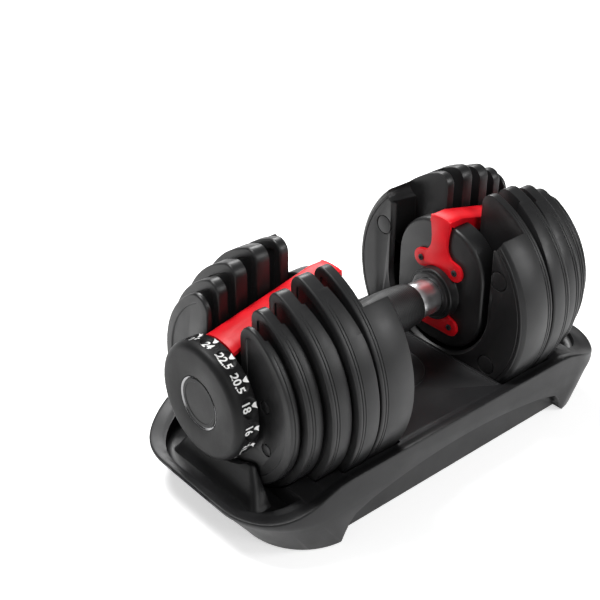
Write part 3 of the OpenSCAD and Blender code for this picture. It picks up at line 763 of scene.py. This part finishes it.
def makeScrews():
    whole = bmesh.new()
    steps = 48
    turns = [2 * math.pi * i / steps for i in range(steps)]
    sector = math.pi / 3
    face = discIn - 0.003
    shape = [(0.0017, discIn + 0.010), (0.0017, face), (0.0029, face), (0.0029, face - 0.0008),
             (0.0026, face - 0.0012), (0.0021, face - 0.0014)]
    for end in endFrame:
        for x, y in ((0.020, 0.027), (-0.020, 0.027), (0.0185, -0.029), (-0.0185, -0.029)):
            bm = bmesh.new()
            rings = [[(x + r * math.cos(a), y + r * math.sin(a), z) for a in turns] for r, z in shape]
            for z in (face - 0.0014, face - 0.0002):
                socket = [(a, 0.0013 / math.cos((a + sector / 2) % sector - sector / 2)) for a in turns]
                rings.append([(x + r * math.cos(a), y + r * math.sin(a), z) for a, r in socket])
            loft(bm, rings)
            bmesh.ops.transform(bm, matrix=endFrame[end], verts=bm.verts)
            mesh = bpy.data.meshes.new("screw")
            bm.to_mesh(mesh)
            bm.free()
            whole.from_mesh(mesh)
    screws = asObject(whole, "screws")
    place(screws, "screw", "handle", ["bracket_screws"])


makeHandle()
for end in endFrame:
    makeInnerDisc(end)
    makeBridge(end)
makeScrews()
print("handle made")


tray = {
    "halfLength": 0.212,
    "halfWidth": 0.099,
    "rim": 0.060,
    "rimEnd": 0.039,
    "deck": 0.056,
    "band": 0.012,
    "corner": 0.060,
    "footIn": 0.026,
    "footCorner": 0.055,
    "channel": 0.031,
    "wall": 0.003,
    "lift": 0.001,
    "ridge": 0.0608,
    "ridgeHeight": 0.0008,
    "ring": 0.038,
}


def dip(x):  # how far the rim has come down at x: 0 along the sides and 1 at the ends
    t = min(1.0, max(0.0, (abs(x) - 0.130) / 0.072))
    return t * t * (3 - 2 * t)


def rimHeight(x):
    return tray["rim"] - (tray["rim"] - tray["rimEnd"]) * dip(x)


# A ring round the tray. lean goes from 0 at the rim to 1 at the feet, and height is a number or a rule for x.
def trayRing(inset, height, lean=0.0):
    hx = tray["halfLength"] - tray["footIn"] * lean - inset
    hy = tray["halfWidth"] - 0.001 * lean - inset
    r = tray["corner"] - (tray["corner"] - tray["footCorner"]) * lean - inset
    r = max(r, 0.006)
    outline = []
    corners = [(hx - r, hy - r, 0), (-hx + r, hy - r, 90), (-hx + r, -hy + r, 180), (hx - r, -hy + r, 270)]
    for index, (cx, cy, start) in enumerate(corners):
        outline += arc(cx, cy, r, start, start + 90, 18)
        if index in (0, 2):
            s = 1 if index == 0 else -1
            outline += [(s * (hx - r) * (1 - 2 * i / 24), cy + s * r) for i in range(1, 24)]
        else:
            s = -1 if index == 1 else 1
            outline += [(cx + s * r, -s * -1 * (hy - r) * (1 - 2 * i / 6)) for i in range(1, 6)]
    return [(x, y, height(x) if callable(height) else height) for x, y in outline]


def trayForm(inset, top, bottom):  # the tray's outside. top is how far its upper surface is lowered
    kneeHeight = tray["rimEnd"] - 0.002
    rings = []
    if bottom:
        rings += [trayRing(inset + a, tray["lift"] + b, 1) for a, b in fillet(0.001, 2)]
    else:
        rings.append(trayRing(inset, -0.01, 1))
        rings.append(trayRing(inset, tray["lift"] + 0.001, 1))
    for i in range(1, 9):
        z = 0.002 + (kneeHeight - 0.006 - 0.002) * i / 8
        rings.append(trayRing(inset, z, 1 - (z - 0.002) / (kneeHeight - 0.002)))
    bend = 0.006
    for i in range(1, 5):
        t = i / 4
        z = kneeHeight - bend + bend * t
        lean = bend / (kneeHeight - 0.002) * (1 - t) ** 1.6
        rings.append(trayRing(inset, z, lean))
    edge = 0.0014
    for a, b in reversed(fillet(edge, 4)):
        rings.append(trayRing(inset + a, lambda x, b=b: rimHeight(x) - top - b))
    drop = tray["rim"] - tray["deck"]
    slope = [(0.0035, 0.12), (0.0075, 0.55), (0.0105, 0.9)]
    slope += [(depth, 1.0) for depth in (tray["band"], 0.016, 0.030, 0.060, 0.090)]
    for depth, share in slope:
        if depth > inset:
            level = lambda x, share=share: rimHeight(x) - drop * share * (1 - 0.7 * dip(x)) - top
            rings.append(trayRing(max(depth, inset + edge + 0.0005), level))
    return rings


def wellCutter(extra, name):  # both ends' stepped wells as solids of revolution along the axle
    bm = bmesh.new()
    for end in endFrame:
        gap = 0.001
        start = plateInner[4] - gap - extra
        profile = [(0, start)]
        for number in (4, 3, 2, 1, 0):
            r = sizes["plateRadius"][number] + gap + extra
            stop = plateInner[number] + sizes["plateThickness"][number] + gap + extra
            if number == 3:
                profile = profile[:-2]  # the two largest plates share one wall
            profile += [(r - 0.0006, start), (r, start + 0.0006), (r, stop - 0.0006), (r - 0.0006, stop)]
            start = stop
        profile.append((0, stop))
        part = bmesh.new()
        turned(part, profile, 144)
        bmesh.ops.transform(part, matrix=endFrame[end], verts=part.verts)
        mesh = bpy.data.meshes.new("well")
        part.to_mesh(mesh)
        part.free()
        bm.from_mesh(mesh)
    return asObject(bm, name)


def channelCutter(extra, name):  # both sunk channels around the saddles, with drafted walls and a rounded floor
    whole = bmesh.new()
    start = platesEnd - 0.010
    low = tray["channel"] - extra
    for s in (-1, 1):
        hx = tray["halfLength"] - 0.007 + extra
        hy = tray["halfWidth"] - 0.020 + extra
        radius = tray["corner"] - 0.010 + extra
        cx, cy = hx - radius, hy - radius
        rings = []
        rise = ((0.006, 0), (0.0035, 0.0006), (0.0012, 0.0022), (0.0006, 0.005))
        for inset, z in [(inset, low + up) for inset, up in rise] + [(-0.0022, 0.09)]:
            r = radius - inset
            back = start - extra
            turn = math.degrees(math.acos(min(1.0, (back - cx) / r)))
            ring = arc(cx, -cy, r, -turn, 0, 24) + arc(cx, cy, r, 0, turn, 24)
            ring = [(back - 0.0005, ring[0][1])] + ring + [(back - 0.0005, ring[-1][1])]
            rings.append([(s * x, y, z) for x, y in ring])
        part = bmesh.new()
        loft(part, rings)
        bmesh.ops.remove_doubles(part, verts=part.verts, dist=1e-7)
        mesh = bpy.data.meshes.new("channel")
        part.to_mesh(mesh)
        part.free()
        whole.from_mesh(mesh)
    return asObject(whole, name)


def saddle(end):  # the block under a dial, with its hollow for the drum
    start = platesEnd + 0.001
    bm = bmesh.new()
    top = 0.0606
    low = tray["channel"] - 0.002
    shape = [(0.0560, 0.0165, low), (0.0560, 0.0165, tray["channel"]), (0.0535, 0.0148, 0.0340),
             (0.0470, 0.0102, 0.0450), (0.0400, 0.0060, 0.0560), (0.0380, 0.0044, 0.0594), (0.0362, 0.0036, top)]
    made = []
    for half, deep, z in shape:
        ring = [(-half, 0), (half, 0)]
        bend = min(0.006, deep * 0.8)
        ring += arc(half - bend, deep - bend, bend, 0, 90, 6)
        ring += arc(-half + bend, deep - bend, bend, 90, 180, 6)
        made.append([(x, z - axle, start + d) for x, d in ring])
    loft(bm, made)
    bmesh.ops.recalc_face_normals(bm, faces=bm.faces)
    block = asObject(bm, f"{end}_saddle")
    bm = bmesh.new()
    hollow = [(0, start - 0.002), (0.0605, start - 0.002), (0.0605, start + 0.0002), (0.060, start + 0.0010)]
    turned(bm, hollow + [(0.060, 0.24), (0, 0.24)], 160)
    carve(block, asObject(bm, "hollow"))
    block.data.transform(endFrame[end])
    return block


def makeTray():
    bm = bmesh.new()
    loft(bm, trayForm(0, 0, True))
    piece = asObject(bm, "tray_shell")
    bm = bmesh.new()
    loft(bm, trayForm(tray["wall"], tray["wall"] + tray["rim"] - tray["deck"], False))
    inside = asObject(bm, "trayInside")
    carve(inside, wellCutter(tray["wall"], "wellWalls"))
    carve(inside, channelCutter(tray["wall"], "channelWalls"))
    carve(piece, wellCutter(0, "wells"))
    carve(piece, channelCutter(0, "channels"))
    carve(piece, inside)
    for end in endFrame:
        carve(piece, saddle(end), "UNION")
    for side in (-1, 1):
        x = side * (tray["ridge"] - 0.0015)
        bm = prism([(x - 0.0015, -0.082), (x + 0.0015, -0.082), (x + 0.0015, 0.082), (x - 0.0015, 0.082)],
                   tray["deck"] - 0.0015, tray["deck"] + tray["ridgeHeight"], 0.0006, 2)
        carve(piece, asObject(bm, "ridge"), "UNION")
    bm = bmesh.new()
    ringOut = tray["ring"]
    deck = tray["deck"]
    turned(bm, [(ringOut - 0.0015, deck - 0.001), (ringOut, deck - 0.001), (ringOut, deck + 0.0003),
                (ringOut - 0.0004, deck + 0.0006), (ringOut - 0.0011, deck + 0.0006),
                (ringOut - 0.0015, deck + 0.0003), (ringOut - 0.0015, deck - 0.001)], 128)
    bmesh.ops.recalc_face_normals(bm, faces=bm.faces)
    carve(piece, asObject(bm, "deckRing"), "UNION")
    rise, half = 0.013, 0.138
    sag = (half * half * 0.7 + rise * rise) / (2 * rise)
    reachX = half - 0.024
    curve = []
    for i in range(49):
        x = reachX * (1 - 2 * i / 48)
        curve.append((x, 0.040 - sag + math.sqrt(sag * sag - x * x)))
    lowEnd = curve[0][1]
    flank = [(0.139, -0.004), (0.137, 0.002), (0.134, 0.009), (0.129, 0.0175), (0.1225, 0.0235)]
    flank.append((0.118, lowEnd - 0.0022))
    outline = flank + curve[2:-2] + [(-x, y) for x, y in reversed(flank)]
    for s in (-1, 1):
        bm = prism(outline, -0.012, 0.012, 0)
        matrix = Matrix.Translation((0, s * tray["halfWidth"], 0)) @ Matrix.Rotation(math.pi / 2, 4, "X")
        carve(piece, asObject(bm, "archCutter", matrix))
    softenEdges(piece, 0.0008, 40)
    place(piece, "tray", "tray", ["base_tray"])
    return piece


makeTray()
print("tray made")


nodeLooks = {
    "rubber_feet": "rubber",
    "axle_rod": "steel",
    "handle_tube": "steel",
    "axle_nuts": "steel",
}
for name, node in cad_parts.items():
    look = nodeLooks.get(name)
    if not look:
        look = "nylon"
        if "lock" in name:
            look = "steel"
        if "core" in name:
            look = "core"
    for index in range(len(node.data.materials)):
        node.data.materials[index] = looks[look]
print("frame pieces dressed")


stageValues = {
    "azimuth": -40.5,
    "elevation": 30.8,
    "lens": 70.8,
    "location": (-0.6204, -0.6129, 0.6453),
    "floor": (0.88, 0.88, 0.88),
    "sky": 0.17,
    "floorGlow": 0.56,
    "floorHalf": 30,
    "aim": (0, 0, 0.08),
    "lamps": [  # name, place, size, power
        ("key", (-0.30, 0.45, 1.25), 0.45, 15),
        ("fill", (0.9, -1.2, 0.9), 0.55, 11),
        ("left", (-1.5, 0.4, 0.9), 0.6, 1.2),
        ("front", (-0.30, -1.35, 1.15), 0.7, 7),
        ("back", (0.8, 1.2, 1.1), 0.6, 18),
    ],
}


def makeStage():
    bm = bmesh.new()
    bmesh.ops.create_grid(bm, x_segments=1, y_segments=1, size=stageValues["floorHalf"])
    floor = asObject(bm, "floor")
    s = Shader("paleFloor")
    tint = s.mix(s.spread(s.noise(3, 4, 0.5), 0, 1), shade(stageValues["floor"], 0.99), stageValues["floor"])
    glow = stageValues["floorGlow"]
    paper = s.finish(tint, None, None, Roughness=0.6, Emission_Color=(1, 1, 1, 1), Emission_Strength=glow)
    floor.data.materials.append(paper)
    for name, spot, size, power in stageValues["lamps"]:
        light = bpy.data.lights.new(name, "AREA")
        light.size = size
        light.energy = power
        lamp = bpy.data.objects.new(name, light)
        lamp.location = spot
        lamp.rotation_euler = (Vector(stageValues["aim"]) - Vector(spot)).to_track_quat("-Z", "Y").to_euler()
        bpy.context.scene.collection.objects.link(lamp)
    world = bpy.data.worlds.new("studio")
    world.use_nodes = True
    world.node_tree.nodes["Background"].inputs["Color"].default_value = (1, 1, 1, 1)
    world.node_tree.nodes["Background"].inputs["Strength"].default_value = stageValues["sky"]
    bpy.context.scene.world = world
    view = bpy.data.cameras.new("camera")
    view.lens = stageValues["lens"]
    view.sensor_width = 36
    view.clip_start = 0.05
    camera = bpy.data.objects.new("camera", view)
    camera.location = stageValues["location"]
    camera.rotation_euler = (math.radians(90 - stageValues["elevation"]), 0, math.radians(stageValues["azimuth"]))
    bpy.context.scene.collection.objects.link(camera)
    bpy.context.scene.camera = camera
    bpy.context.scene.view_settings.view_transform = "Standard"


makeStage()
print("stage made")
